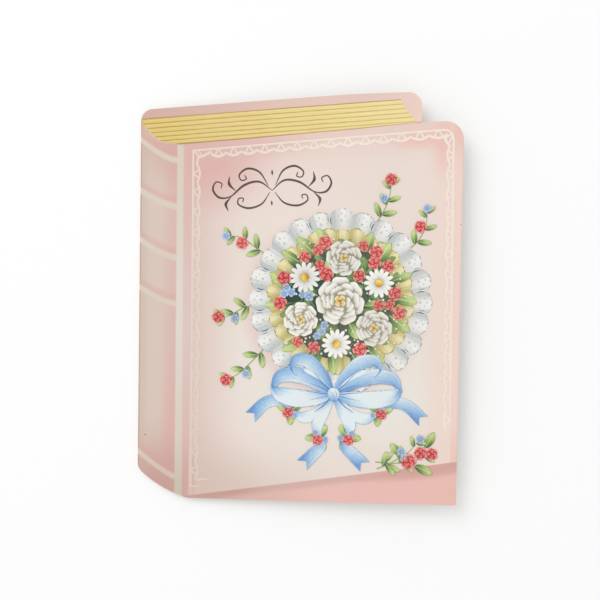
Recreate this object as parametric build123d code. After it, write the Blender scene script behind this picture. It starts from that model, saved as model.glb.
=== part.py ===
from build123d import *
import os
from math import cos, radians, sin

# Greeting card cut in the outline of a thick closed book: one sheet of card stock, folded
# once down its left side and lying on its back leaf. The front leaf springs up off it.
# Millimetres. +X runs from the fold to the free edges, +Y up the face of the card and +Z up
# from the table. The origin is on the table, in the middle of the card's footprint.

# The sheet and its fold
stock = 0.35                 # thickness of the card stock
fold_inner_radius = 0.25     # bend of the card inside its fold
fold_lift = 4.6              # slope of the front leaf where it leaves the fold, in degrees
free_edge_lift = 2.6         # slope at its free edge, eased by the leaf's own weight, in degrees

# The whole die-cut outline, measured from the fold and from the bottom edge
card_width = 127.0           # fold to free edges, the width of the book's front cover
card_height = 162.3          # to the highest corner, the back cover's
bottom_corner_radius = 0.8

# The front cover's upper corner, at the free edge
front_cover_drop = 10.9      # corner of the front cover below the highest corner
front_cover_radius = 7.0

# The step between the two covers
cover_step = 16.35           # back cover's side edge in from the front cover's
step_drop = 11.95            # foot of the step below the highest corner
step_radius = 0.3
back_cover_radius = 5.3

# The back cover's top edge, which bends gently on its way down to the spine
top_bend_inset = 28.0        # bend in from the back cover's side edge
top_bend_drop = 1.24
top_bend_radius = 300.0
spine_drop = 7.95            # top of the spine below the highest corner
spine_top_radius = 5.0

# The foot of the spine, one round curve down to the bottom edge
foot_height = 11.6           # its upper end on the fold, before rounding
foot_width = 20.2            # its lower end on the bottom edge, before rounding
foot_curve_radius = 48.5
foot_heel_radius = 6.0
foot_toe_radius = 8.0

# How far the die line stands outside the fold, so that the fold itself stays whole
die_clearance = 0.05
# How far the folded strip is made oversize before the die cuts it
trim = 2.0


def folded_strip():
    """The sheet bent to its section: flat back leaf, round fold, gently arched front leaf."""
    fold_outer_radius = fold_inner_radius + stock
    fold_turn = 180 - fold_lift
    leaf_turn = fold_lift - free_edge_lift
    leaf_length = (card_width + trim) / cos(radians(fold_lift))
    leaf_inner_radius = leaf_length / radians(leaf_turn)
    leaf_outer_radius = leaf_inner_radius + stock
    leaf_start = (cos(radians(fold_lift)), sin(radians(fold_lift)))

    with BuildPart() as strip:
        with BuildSketch(Plane.XZ):
            with BuildLine():
                lower_face = Line((card_width + trim, 0), (fold_outer_radius, 0))
                outer_bend = JernArc(lower_face @ 1, (-1, 0), fold_outer_radius, -fold_turn)
                outer_leaf = JernArc(outer_bend @ 1, leaf_start, leaf_outer_radius, -leaf_turn)
                upper_face = Line((card_width + trim, stock), (fold_outer_radius, stock))
                inner_bend = JernArc(upper_face @ 1, (-1, 0), fold_inner_radius, -fold_turn)
                inner_leaf = JernArc(inner_bend @ 1, leaf_start, leaf_inner_radius, -leaf_turn)
                Line(lower_face @ 0, upper_face @ 0)
                Line(outer_leaf @ 1, inner_leaf @ 1)
            make_face()
        extrude(amount=-(card_height + trim))
    return Pos(0, -trim / 2, 0) * strip.part


def die_outline():
    """The face that the die cuts out: its corners in turn, then the radius that rounds each."""
    back_cover_width = card_width - cover_step
    toe = (foot_width, 0)
    bottom = (card_width, 0)
    front_corner = (card_width, card_height - front_cover_drop)
    step = (back_cover_width, card_height - step_drop)
    back_corner = (back_cover_width, card_height)
    top_bend = (back_cover_width - top_bend_inset, card_height - top_bend_drop)
    spine_top = (-die_clearance, card_height - spine_drop)
    heel = (-die_clearance, foot_height)
    rounding = [
        (toe, foot_toe_radius),
        (bottom, bottom_corner_radius),
        (front_corner, front_cover_radius),
        (step, step_radius),
        (back_corner, back_cover_radius),
        (top_bend, top_bend_radius),
        (spine_top, spine_top_radius),
        (heel, foot_heel_radius),
    ]
    straights = Polyline([corner for corner, radius in rounding])
    foot_curve = RadiusArc(toe, heel, foot_curve_radius)
    outline = make_face(straights.edges() + foot_curve.edges())
    for corner, radius in rounding:
        outline = fillet(outline.vertices().sort_by_distance(corner)[0], radius)
    return outline


def folded_card():
    """Both leaves cut by one stroke of the die, and the card set on its origin."""
    strip = folded_strip()
    die = extrude(die_outline(), amount=strip.bounding_box().max.Z + trim)
    card = strip & Pos(0, 0, -trim / 2) * die
    footprint = card.bounding_box().center()
    return Pos(-footprint.X, -footprint.Y, 0) * card


card = folded_card()
os.makedirs("parts", exist_ok=True)
export_step(card, "parts/folded_card.step")
print("card size:", card.bounding_box().size, "volume:", round(card.volume, 1))
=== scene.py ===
"""Looks of a folded greeting card, die-cut in the outline of a thick closed book.

The print is laid out in millimetres as the card is measured: u from the fold to the free edge,
v from the bottom edge up, and height above the outer face of the front leaf.
"""
import math
import random

import bmesh
import bpy
import numpy as np
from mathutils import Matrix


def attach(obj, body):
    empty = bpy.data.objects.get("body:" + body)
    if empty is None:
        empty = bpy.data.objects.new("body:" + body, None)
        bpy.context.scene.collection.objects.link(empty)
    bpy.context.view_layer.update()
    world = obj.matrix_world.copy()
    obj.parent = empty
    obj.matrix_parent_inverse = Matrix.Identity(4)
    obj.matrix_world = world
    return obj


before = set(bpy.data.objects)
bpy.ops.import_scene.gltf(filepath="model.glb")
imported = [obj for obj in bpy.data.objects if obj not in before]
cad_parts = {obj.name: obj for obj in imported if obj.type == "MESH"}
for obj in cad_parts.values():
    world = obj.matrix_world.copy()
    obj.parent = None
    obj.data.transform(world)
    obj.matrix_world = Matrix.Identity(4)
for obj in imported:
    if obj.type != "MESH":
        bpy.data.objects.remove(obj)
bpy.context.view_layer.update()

# The card. One sheet of uncoated card stock, printed on its outer face by offset lithography from
# airbrushed artwork, die-cut in the outline of a book and folded once down its left side.
# It is the CAD solid itself. The cut edges, the inside and the back leaf are bare, aged stock.
FOLD_X = -63.5           # where u starts, in the frame
FOOT_Y = -81.03          # where v starts, in the frame
ENDLESS = 10000.0        # a reach that takes a tint past every edge of the card


def linear(hex_colour):
    """The linear colour of an sRGB hex value."""
    channels = [int(hex_colour[i:i + 2], 16) / 255 for i in (1, 3, 5)]
    lit = [c / 12.92 if c <= 0.04045 else ((c + 0.055) / 1.055) ** 2.4 for c in channels]
    return (*lit, 1.0)


def add_node(tree, kind, sockets=None, **settings):
    """Adds one node, with its settings, and fills or links its sockets."""
    node = tree.nodes.new(kind)
    for setting, value in settings.items():
        setattr(node, setting, value)
    for key, value in (sockets or {}).items():
        if isinstance(value, bpy.types.NodeSocket):
            tree.links.new(value, node.inputs[key])
        elif isinstance(value, str) and value.startswith("#"):
            node.inputs[key].default_value = linear(value)
        else:
            node.inputs[key].default_value = value
    return node


def new_material(name):
    """An empty material and its tree."""
    material = bpy.data.materials.new(name)
    material.use_nodes = True
    material.node_tree.nodes.clear()
    return material, material.node_tree


def matt_paper(tree, colour, place_mm, roughness):
    """Ends a tree in matt paper: the colour broken by fine grain, over a faint fibrous tooth."""
    # Stock of this weight has fibres 0.02 to 0.04 mm across. They are drawn at 0.3 mm to show.
    grain = add_node(tree, "ShaderNodeTexNoise",
                     {"Vector": place_mm, "Scale": 3.0, "Detail": 3.0, "Roughness": 0.65})
    # The sheet has yellowed unevenly, in patches some 30 mm across.
    ageing = add_node(tree, "ShaderNodeTexNoise", {"Vector": place_mm, "Scale": 0.035, "Detail": 2.0})
    worn = add_node(tree, "ShaderNodeMapRange",
                    {"Value": ageing.outputs["Fac"], "From Min": 0.45, "From Max": 0.75, "To Max": 0.1})
    aged = add_node(tree, "ShaderNodeMix",
                    {"Factor": worn.outputs[0], 6: colour, 7: "#e4cbb0"}, data_type="RGBA")
    speckle = add_node(tree, "ShaderNodeMapRange",
                       {"Value": grain.outputs["Fac"], "From Min": 0.3, "From Max": 0.7,
                        "To Min": 0.975, "To Max": 1.02})
    inked = add_node(tree, "ShaderNodeHueSaturation",
                     {"Value": speckle.outputs[0], "Color": aged.outputs[2]})
    tooth = add_node(tree, "ShaderNodeBump",
                     {"Height": grain.outputs["Fac"], "Distance": 0.00003, "Strength": 0.35})
    paper = add_node(tree, "ShaderNodeBsdfPrincipled",
                     {"Base Color": inked.outputs["Color"], "Roughness": roughness,
                      "Specular IOR Level": 0.25, "Normal": tooth.outputs[0]})
    add_node(tree, "ShaderNodeOutputMaterial", {"Surface": paper.outputs[0]})


# Uncoated stock: no gloss at all, so its colour stays even from every side.
card_stock, card_tree = new_material("offset_printed_card_stock")
where = add_node(card_tree, "ShaderNodeTexCoord")
card_mm = add_node(card_tree, "ShaderNodeMapping",
                   {"Vector": where.outputs["Object"], "Location": (-FOLD_X, -FOOT_Y, 0.0),
                    "Scale": (1000.0, 1000.0, 1000.0)}).outputs[0]
card_axes = add_node(card_tree, "ShaderNodeSeparateXYZ", {0: card_mm})


def airbrush(paint, tint, centre, reach, turn=0.0, fade=1.0, strength=1.0):
    """Sprays a tint over the paint so far, in an oval, or in a band where one reach is endless."""
    local = add_node(card_tree, "ShaderNodeMapping",
                     {"Vector": card_mm, "Location": (*centre, 0.0),
                      "Rotation": (0.0, 0.0, math.radians(turn)), "Scale": (*reach, ENDLESS)},
                     vector_type="TEXTURE")
    distance = add_node(card_tree, "ShaderNodeVectorMath", {0: local.outputs[0]}, operation="LENGTH")
    mask = add_node(card_tree, "ShaderNodeMapRange",
                    {"Value": distance.outputs["Value"], "From Min": 1.0, "From Max": 1.0 - fade,
                     "To Max": strength}, interpolation_type="SMOOTHSTEP")
    return add_node(card_tree, "ShaderNodeMix", {"Factor": mask.outputs[0], 6: paint, 7: tint},
                    data_type="RGBA").outputs[2]


def mask_off(paint, tint, edge, turn, blur):
    """Lays a tint on one side of a straight masked edge: above it, before the edge is turned."""
    local = add_node(card_tree, "ShaderNodeMapping",
                     {"Vector": card_mm, "Location": (*edge, 0.0),
                      "Rotation": (0.0, 0.0, math.radians(turn))}, vector_type="TEXTURE")
    axes = add_node(card_tree, "ShaderNodeSeparateXYZ", {0: local.outputs[0]})
    mask = add_node(card_tree, "ShaderNodeMapRange",
                    {"Value": axes.outputs["Y"], "From Min": -blur / 2, "From Max": blur / 2},
                    interpolation_type="SMOOTHSTEP")
    return add_node(card_tree, "ShaderNodeMix", {"Factor": mask.outputs[0], 6: paint, 7: tint},
                    data_type="RGBA").outputs[2]


# Every field of the print darkens towards the fold: partly printed tint, partly painted shade of light that
# falls off to the left.
# The front cover: cream in the middle, pink towards its corners and its left and top sides.
COVER_TILT = 5.5         # degrees that the top of the front cover climbs to the right
cover = airbrush("#eddfd6", "#eee7de", (72, 62), (60, 66), fade=0.8)
for tint, centre, reach, turn, fade, strength in (
        ("#f0ece2", (98, 42), (34, 30), 0.0, 0.9, 0.6),
        ("#dfc6bd", (16, 80), (28, ENDLESS), 0.0, 1.0, 0.97),
        ("#eacec5", (70, 150), (ENDLESS, 22), COVER_TILT, 1.0, 0.95),
        ("#e0b4ae", (24, 136), (38, 30), 0.0, 0.85, 0.95),
        ("#e2bdb7", (42, 140.0), (38, 7), COVER_TILT, 0.9, 0.75),
        ("#f5d6ca", (124, 80), (15, ENDLESS), 0.0, 1.0, 0.5),
        ("#f2beb6", (110.5, 143.8), (19, 5.2), COVER_TILT, 1.0, 0.75),
        ("#efbcb5", (119.5, 141.5), (7, 18), 0.0, 1.0, 0.65),
        ("#dccbc0", (40, 0), (60, 26), 0.0, 1.0, 0.8),
        ("#d9c1b6", (24, 2), (36, 34), 0.0, 1.0, 0.85),
        ("#cda89e", (22.6, 10), (1.3, 12), 0.0, 0.6, 0.35),
        ("#dfbbb4", (77.8, 78), (39.5, 39.5), 0.0, 0.2, 0.5)):
    cover = airbrush(cover, tint, centre, reach, turn, fade, strength)

# Outside the lace the right margin is a plain pink strip, deeper towards both ends.
MARGIN_LEAN = 0.45       # degrees, towards the fold from the foot up
margin = airbrush("#f3d7cc", "#edc4b8", (126, 152), (12, 22))
margin = airbrush(margin, "#efc8bb", (126, 12), (12, 26))
margin = airbrush(margin, "#d9b0a4", (127.4, 80), (1.2, ENDLESS), strength=0.4)
cover = mask_off(cover, margin, (123.9, 80), -90 + MARGIN_LEAN, 1.0)

# The ledge that the book is drawn standing on, with a blurred shade along its back edge.
LEDGE_TILT = 8.75        # degrees that the ledge climbs to the right
ledge = airbrush("#edc0b7", "#dbb4aa", (30, 0), (50, ENDLESS), fade=0.9)
for tint, centre, reach, turn, fade, strength in (
        ("#d8b3aa", (60, 6.3), (ENDLESS, 3.2), LEDGE_TILT, 0.8, 1.0),
        ("#c9978e", (36, 2.6), (26, 2.8), LEDGE_TILT, 0.9, 0.8),
        ("#d8a89f", (116, 14.4), (36, 5.0), LEDGE_TILT, 0.6, 0.85),
        ("#c7a197", (14, 0), (34, ENDLESS), 0.0, 1.0, 0.95),
        ("#ebc0ae", (128, 4), (16, 10), 0.0, 1.0, 0.6)):
    ledge = airbrush(ledge, tint, centre, reach, turn, fade, strength)

# The spine: tan along the fold, pink towards the hinge, darker at the foot, with five pale bands
# that curve round it as they would round a real book.
SPINE_WIDTH = 14.8       # mm from the fold to the hinge
HINGE_LEAN = 0.14        # degrees that the hinge leans towards the fold, from its foot up
SPINE_BANDS = (          # height at the hinge, rise to the fold and half width in mm, then its curl:
    (134.6, 8.1, 1.2, 1.55), (116.3, 6.4, 1.3, 1.55), (96.1, 7.1, 1.2, 1.5), (77.7, 6.6, 1.1, 1.5),
    (8.5, 9.9, 1.15, 1.2))  # above 1, a band drops fastest beside the fold
BAND_BLUR = 0.6          # mm of soft edge on each side of a band
spine = airbrush("#dcc8be", "#deb8b1", (14.5, 80), (6.5, ENDLESS), fade=0.9, strength=0.75)
for tint, centre, reach, turn, fade, strength in (
        ("#deb2ab", (14.5, 140), (7, 28), 0.0, 1.0, 0.9),
        ("#deb3ac", (14.5, 30), (7, 34), 0.0, 1.0, 0.8),
        ("#d2c1b4", (0.5, 80), (4.0, ENDLESS), 0.0, 0.9, 0.9),
        ("#d6b0a5", (10, 146), (16, 27), 0.0, 0.9, 0.85),
        ("#d9c09f", (0, 148), (7, 9), 0.0, 1.0, 0.7),
        ("#d0a29b", (9, -4), (24, 41), 0.0, 0.85, 1.0),
        # Painted shade: a narrow brown line down the rounded fold, where it turns away from the light.
        ("#b98d78", (0.1, 80), (0.8, ENDLESS), 0.0, 1.0, 0.75)):
    spine = airbrush(spine, tint, centre, reach, turn, fade, strength)
# Painted shade: the back cover darkens towards the fold, as the light falls off to the left.
back_cover = airbrush("#e8cabf", "#d6b3a9", (0, 150), (78, ENDLESS), fade=1.0)
back_cover = airbrush(back_cover, "#f2d5ca", (122, 150), (36, ENDLESS), fade=0.9)
back_cover = airbrush(back_cover, "#e0b7a6", (60, 162), (ENDLESS, 3.0), turn=2.5, strength=0.4)
across = add_node(card_tree, "ShaderNodeMapRange",
                  {"Value": card_axes.outputs["X"], "From Min": SPINE_WIDTH, "From Max": 0.0})
for hinge_height, rise, half_width, curl in SPINE_BANDS:
    curled = add_node(card_tree, "ShaderNodeMath", {0: across.outputs[0], 1: curl}, operation="POWER")
    drop = add_node(card_tree, "ShaderNodeMath",
                    {0: curled.outputs[0], 1: -rise, 2: card_axes.outputs["Y"]}, operation="MULTIPLY_ADD")
    off_centre = add_node(card_tree, "ShaderNodeMath", {0: drop.outputs[0], 1: hinge_height},
                          operation="SUBTRACT")
    # A pink shade is sprayed along the upper side of each band, which makes it stand out.
    for middle, reach, blur, tint, strength in ((half_width + 1.0, 1.6, 1.5, "#dba9a1", 0.45),
                                                (0.0, half_width, BAND_BLUR, "#ddd1c2", 0.95)):
        off = add_node(card_tree, "ShaderNodeMath", {0: off_centre.outputs[0], 1: middle},
                       operation="SUBTRACT")
        distance = add_node(card_tree, "ShaderNodeMath", {0: off.outputs[0]}, operation="ABSOLUTE")
        sprayed = add_node(card_tree, "ShaderNodeMapRange",
                           {"Value": distance.outputs[0], "From Min": reach + blur, "From Max": reach - blur,
                            "To Max": strength}, interpolation_type="SMOOTHSTEP")
        spine = add_node(card_tree, "ShaderNodeMix",
                         {"Factor": sprayed.outputs[0], 6: spine, 7: tint}, data_type="RGBA").outputs[2]
spine = airbrush(spine, "#c3a093", (9, -4), (24, 32), fade=0.7, strength=0.3)

# The groove between spine and cover: a pale stripe, with pink on its cover side.
groove = airbrush("#deb7b0", "#e1cac2", (18.8, 71), (9, 72), strength=0.95)
groove = airbrush(groove, "#d2a8a1", (18.8, 2), (9, 26), strength=0.9)
cover = airbrush(cover, groove, (17.4, 80), (3.9, ENDLESS), fade=0.3)
cover = mask_off(cover, ledge, (60, 7.04), 180 + LEDGE_TILT, 0.5)
stripe = airbrush("#dcd0c2", "#e3dbcf", (16, 76), (9, 66))
stripe = airbrush(stripe, "#cbc2b2", (16, 0), (9, 28))
cover = mask_off(cover, stripe, (17.55, 80), 90 + 2 * HINGE_LEAN, 0.9)

# The back cover shows past the page edges, warmer and paler towards the right, its darkening to the left
# painted shade. It meets the top of the front cover on the right and the head of the spine on the left.
cover = mask_off(cover, back_cover, (60, 145.47), 5.54, 0.3)
spine = mask_off(spine, back_cover, (20, 152.2), 4.9, 0.4)
cover = mask_off(cover, spine, (SPINE_WIDTH, 80), 90 + HINGE_LEAN, 0.7)

# Two dark specks. The brown line down the fold, laid with the spine, is painted shade.
cover = airbrush(cover, "#6e5a50", (3.0, 25.0), (0.55, 0.28), fade=0.5, strength=0.8)
cover = airbrush(cover, "#8a7a70", (126.6, 110.8), (0.3, 0.3), fade=0.5, strength=0.75)

# Ink lies only on the outer face of the front leaf and round the outside of its fold.
facing = add_node(card_tree, "ShaderNodeSeparateXYZ", {0: where.outputs["Normal"]})
upward = add_node(card_tree, "ShaderNodeMapRange",
                  {"Value": facing.outputs["Z"], "From Min": 0.3, "From Max": 0.5})
at_fold = add_node(card_tree, "ShaderNodeMapRange",
                   {"Value": card_axes.outputs["X"], "From Min": 0.62, "From Max": 0.58})
outer_face = add_node(card_tree, "ShaderNodeMath", {0: upward.outputs[0], 1: at_fold.outputs[0]},
                      operation="MAXIMUM")
above = add_node(card_tree, "ShaderNodeMapRange",
                 {"Value": card_axes.outputs["Z"], "From Min": 0.45, "From Max": 0.75})
printed = add_node(card_tree, "ShaderNodeMath", {0: outer_face.outputs[0], 1: above.outputs[0]},
                   operation="MULTIPLY")
surface = add_node(card_tree, "ShaderNodeMix",
                   {"Factor": printed.outputs[0], 6: "#eadfcb", 7: cover}, data_type="RGBA").outputs[2]
matt_paper(card_tree, surface, card_mm, 0.8)
for material_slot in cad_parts["folded_card"].material_slots:
    material_slot.material = card_stock

# The page edges. A field of gold-coloured litho ink between the two covers, pressed into six
# rounded leaves, with drawn olive-brown lines where one leaf meets the next.
STOCK = 0.35                  # mm, thickness of the sheet
FOLD_RADIUS = 0.6             # mm, outside the fold
LIFT_AT_FOLD = math.radians(4.6)
LIFT_AT_EDGE = math.radians(2.6)
LEAF_RUN = 129.0              # mm over which the front leaf eases from one lift to the other
LEAF_ARC_RADIUS = LEAF_RUN / math.cos(LIFT_AT_FOLD) / (LIFT_AT_FOLD - LIFT_AT_EDGE) + STOCK
LEAF_ARC_CENTRE = FOLD_RADIUS + (LEAF_ARC_RADIUS - FOLD_RADIUS) * math.sin(LIFT_AT_FOLD)
LEAF_ARC_FOOT = FOLD_RADIUS - (LEAF_ARC_RADIUS - FOLD_RADIUS) * math.cos(LIFT_AT_FOLD)
SUNK = -0.12                  # how deep the foot of each printed shape is let into the card


class Plate:
    """What one printing plate lays down: closed shells of ink, drawn flat in (u, v, height) mm.

    Each point keeps how far along its shape it lies, how far across, how near the rim, and a tone.
    """

    def __init__(self):
        self.points = []
        self.faces = []
        self.marks = []

    def strip(self, top, along, across, rim=None, tone=0.5):
        """Inks a strip from a grid of top points, and closes it with walls and a foot."""
        rows, columns = top.shape[:2]
        start = len(self.points)
        foot = top.copy()
        foot[..., 2] = SUNK
        rim = 1 - np.abs(across) if rim is None else rim
        shape = (rows, columns)
        marks = np.stack([np.broadcast_to(part, shape) for part in (along, across, rim, tone)], -1)
        for layer in (top, foot):
            self.points += layer.reshape(-1, 3).tolist()
            self.marks += marks.reshape(-1, 4).tolist()
        number = np.arange(rows * columns).reshape(rows, columns) + start
        for r in range(rows - 1):
            for c in range(columns - 1):
                quad = (number[r, c], number[r, c + 1], number[r + 1, c + 1], number[r + 1, c])
                self.faces.append(quad)
                self.faces.append(tuple(p + rows * columns for p in reversed(quad)))
        border = list(number[0, :-1]) + list(number[:-1, -1]) + list(number[-1, :0:-1])
        border += list(number[:0:-1, 0])
        for here, there in zip(border, border[1:] + border[:1]):
            self.faces.append((there, here, here + rows * columns, there + rows * columns))

    def patch(self, outline, root, tip, level, rise, tone=0.5):
        """Inks a domed patch inside an outline, with marks that run from its root to its tip."""
        outline = np.array(outline, float)
        root = np.array(root, float)
        tip = np.array(tip, float)
        count = len(outline)
        middle = outline.mean(0)
        axis = tip - root
        length = np.linalg.norm(axis)
        axis = axis / length
        side = np.array((-axis[1], axis[0]))
        half_width = np.abs((outline - root) @ side).max()
        start = len(self.points)
        for size in (1.0, 1.0, 0.9, 0.7, 0.4, 0.0):
            foot = len(self.points) == start
            ring = middle + (outline - middle) * size
            ring = ring if size else ring[:1]
            for point in ring:
                height = SUNK if foot else level + rise * (1 - size ** 2.5)
                self.points.append((*point, height))
                self.marks.append(((point - root) @ axis / length, (point - root) @ side / half_width,
                                   1 - size, tone))
        for ring in range(4):
            for k in range(count):
                here = start + ring * count + k
                there = start + ring * count + (k + 1) % count
                self.faces.append((here, there, there + count, here + count))
        peak = start + 5 * count
        for k in range(count):
            self.faces.append((peak - count + k, peak - count + (k + 1) % count, peak))
        self.faces.append(tuple(start + k for k in reversed(range(count))))

    def mesh(self, name):
        """The plate's mesh, still flat and in millimetres."""
        mesh = bpy.data.meshes.new(name)
        mesh.from_pydata(self.points, [], [tuple(int(p) for p in face) for face in self.faces])
        marks = np.array(self.marks)
        uv = mesh.uv_layers.new(name="UVMap")
        corners = np.zeros(len(mesh.loops), int)
        mesh.loops.foreach_get("vertex_index", corners)
        uv.data.foreach_set("uv", marks[corners][:, :2].ravel())
        for label, column in (("rim", 2), ("tone", 3)):
            mesh.attributes.new(label, "FLOAT", "POINT").data.foreach_set("value", marks[:, column])
        return mesh


def finish_piece(name, mesh, material):
    """Lays a flat mesh on the sprung front leaf, in the frame, and fixes it to the card."""
    flat = np.zeros(len(mesh.vertices) * 3)
    mesh.vertices.foreach_get("co", flat)
    u, v, height = flat.reshape(-1, 3).T
    off_centre = u - LEAF_ARC_CENTRE
    outward = 1 + height / LEAF_ARC_RADIUS
    laid = np.stack([LEAF_ARC_CENTRE + off_centre * outward + FOLD_X, v + FOOT_Y,
                     LEAF_ARC_FOOT + np.sqrt(LEAF_ARC_RADIUS ** 2 - off_centre ** 2) * outward], 1)
    mesh.vertices.foreach_set("co", (laid / 1000).ravel())
    shells = bmesh.new()
    shells.from_mesh(mesh)
    bmesh.ops.recalc_face_normals(shells, faces=shells.faces)
    shells.to_mesh(mesh)
    shells.free()
    mesh.shade_smooth()
    mesh.set_sharp_from_angle(angle=math.radians(35))
    mesh.materials.clear()
    mesh.materials.append(material)
    piece = bpy.data.objects.new(name, mesh)
    bpy.context.scene.collection.objects.link(piece)
    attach(piece, "root")


def finish_plate(name, plate, material):
    """Prints what one plate holds, as one piece."""
    finish_piece(name, plate.mesh(name), material)


def ink_marks(tree):
    """The marks that a Plate leaves on its points: along, across, rim and tone."""
    uv_map = add_node(tree, "ShaderNodeUVMap", uv_map="UVMap")
    uv = add_node(tree, "ShaderNodeSeparateXYZ", {0: uv_map.outputs[0]})
    rim, tone, shift = (add_node(tree, "ShaderNodeAttribute", attribute_name=mark).outputs["Fac"]
                        for mark in ("rim", "tone", "shift"))
    shifted_tone = add_node(tree, "ShaderNodeMath", {0: tone, 1: shift}, operation="ADD")
    return uv.outputs["X"], uv.outputs["Y"], rim, shifted_tone.outputs[0]


def place_in_mm(tree):
    """Object coordinates in millimetres."""
    own_place = add_node(tree, "ShaderNodeTexCoord")
    return add_node(tree, "ShaderNodeMapping", {"Vector": own_place.outputs["Object"],
                                                "Scale": (1000.0, 1000.0, 1000.0)}).outputs[0]


PAGE_ROWS = 8                 # rows of points across each leaf
BLOCK_BACK = 152.2            # mm up the card, where the back of the block is 20 mm from the fold
BLOCK_RISE = 6.86             # mm that it climbs in the next 80
length = np.linspace(0, 1, 90)[None, :]
first = 0.05 - 0.2 * length   # the back cover hides a little of the first leaf, more to the right
shown = 6.03 - 0.28 * length - 0.5 * length ** 3      # the front cover hides the rest from here
first_leaf = np.linspace(0, 1, PAGE_ROWS + 1)[:-1, None] * (1 + first) - first
whole_leaves = np.arange(PAGE_ROWS, 5 * PAGE_ROWS + 1)[:, None] / PAGE_ROWS + 0 * length
last_leaf = 5 + np.linspace(0, 1, 7)[1:, None] * (shown - 5)
leaves = np.vstack([first_leaf, whole_leaves, last_leaf])
drop = 1.93 * leaves - 0.026 * leaves ** 2            # mm below the back of the block


def page_corner(drop):
    """How far from the fold the pages start, so many mm below the back of the block."""
    depth = np.maximum(drop, 0) / 10.4
    return 0.4 + 8.6 * depth ** 1.35 + 4.8 * depth ** 16


def page_line(u, drop):
    """Height up the card of a leaf's edge, so many mm below the back of the block."""
    return BLOCK_BACK + BLOCK_RISE * (u - 20) / 80 - drop


page_end = 102.4 + 6.4 * (np.maximum(drop, 0) / 9.58) ** 1.3
page_u = page_corner(drop) * (1 - length) + page_end * length
page_height = 0.03 + 0.13 * np.sqrt(np.abs(np.sin(np.pi * leaves)))
page_height[[0, -1]] = 0.05
pages = Plate()
pages.strip(np.stack([page_u, page_line(page_u, drop), page_height], -1), length, leaves, rim=0.5)

# Gold-coloured ink is flat and matt, unlike foil: it shows as soft yellow, not as metal.
page_gold, gold_tree = new_material("gold_coloured_litho_ink")
along, leaf_number = ink_marks(gold_tree)[:2]
in_mm = place_in_mm(gold_tree)
stretched = add_node(gold_tree, "ShaderNodeMapping",
                     {"Vector": in_mm, "Rotation": (0, 0, math.radians(-4.9)),
                                                      "Scale": (0.05, 1.6, 1.0)})
page_grain = add_node(gold_tree, "ShaderNodeTexNoise",
                      {"Vector": stretched.outputs[0], "Scale": 1.0, "Detail": 3.0})
# Partly print, partly painted shade: the gold is darker at the fold end of the pages and paler to the right,
# as the light falls off to the left.
swept = add_node(gold_tree, "ShaderNodeMix", {"Factor": along, 6: "#e4cc7e", 7: "#f8e6a5"}, data_type="RGBA")
streaky = add_node(gold_tree, "ShaderNodeMapRange",
                   {"Value": page_grain.outputs["Fac"], "From Min": 0.35, "From Max": 0.75, "To Max": 0.3})
gilt = add_node(gold_tree, "ShaderNodeMix",
                {"Factor": streaky.outputs[0], 6: swept.outputs[2], 7: "#d9b566"},
                data_type="RGBA")
# The drawn lines: one at each join of two leaves, uneven in weight along its run.
nearest = add_node(gold_tree, "ShaderNodeMath", {0: leaf_number, 1: 0.5}, operation="PINGPONG")
weight = add_node(gold_tree, "ShaderNodeTexNoise",
                  {"Vector": stretched.outputs[0], "Scale": 2.2, "Detail": 2.0})
line_half = add_node(gold_tree, "ShaderNodeMapRange",
                     {"Value": weight.outputs["Fac"], "From Min": 0.35, "From Max": 0.65,
                      "To Min": 0.12, "To Max": 0.26})
fainter = add_node(gold_tree, "ShaderNodeMapRange", {"Value": along, "To Min": 0.75, "To Max": 0.5})
line = add_node(gold_tree, "ShaderNodeMapRange",
                {"Value": nearest.outputs[0], "From Min": line_half.outputs[0], "From Max": 0.02,
                 "To Max": fainter.outputs[0]}, interpolation_type="SMOOTHSTEP")
lined = add_node(gold_tree, "ShaderNodeMix", {"Factor": line.outputs[0], 6: gilt.outputs[2], 7: "#a3843a"},
                 data_type="RGBA")
matt_paper(gold_tree, lined.outputs[2], in_mm, 0.6)
finish_plate("gilt_page_edges", pages, page_gold)


def smooth_line(knots, count):
    """Points along a smooth line that passes through the knots, as many between each two."""
    knots = np.array(knots, float)
    if knots.ndim == 1:
        knots = knots[:, None]
    padded = np.vstack([2 * knots[0] - knots[1], knots, 2 * knots[-1] - knots[-2]])
    place = np.linspace(0, len(knots) - 1, count)
    span = np.minimum(place.astype(int), len(knots) - 2)
    t = (place - span)[:, None]
    p0, p1, p2, p3 = (padded[span + k] for k in range(4))
    line = p1 + 0.5 * t * (p2 - p0 + t * (2 * p0 - 5 * p1 + 4 * p2 - p3 + t * (3 * (p1 - p2) + p3 - p0)))
    return line if line.shape[1] > 1 else line[:, 0]


def stroke(plate, knots, widths, level, rise, count=40, shades=(0.5,), tone=0.5, columns=5, notch=0.0):
    """Inks a brushed stroke along a line of knots, with its width and shade set along the way."""
    centre = smooth_line(knots, count)
    width = np.interp(np.linspace(0, 1, count), np.linspace(0, 1, len(widths)), widths)
    shade = np.interp(np.linspace(0, 1, count), np.linspace(0, 1, len(shades)), shades)
    heading = np.gradient(centre, axis=0)
    heading /= np.linalg.norm(heading, axis=1)[:, None]
    normal = np.stack([-heading[:, 1], heading[:, 0]], 1)
    across = np.linspace(-1, 1, columns)
    flat = centre[:, None, :] + normal[:, None, :] * (across[None, :, None] * width[:, None, None] / 2)
    for row in range(-5, 0):
        flat[row] += heading[row] * notch * (6 + row) / 5 * (np.abs(across[:, None]) - 0.5)
    height = level + rise * (1 - across ** 2)[None, :] + 0 * width[:, None]
    plate.strip(np.concatenate([flat, height[..., None]], -1), shade[:, None], across[None, :], tone=tone)


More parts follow.
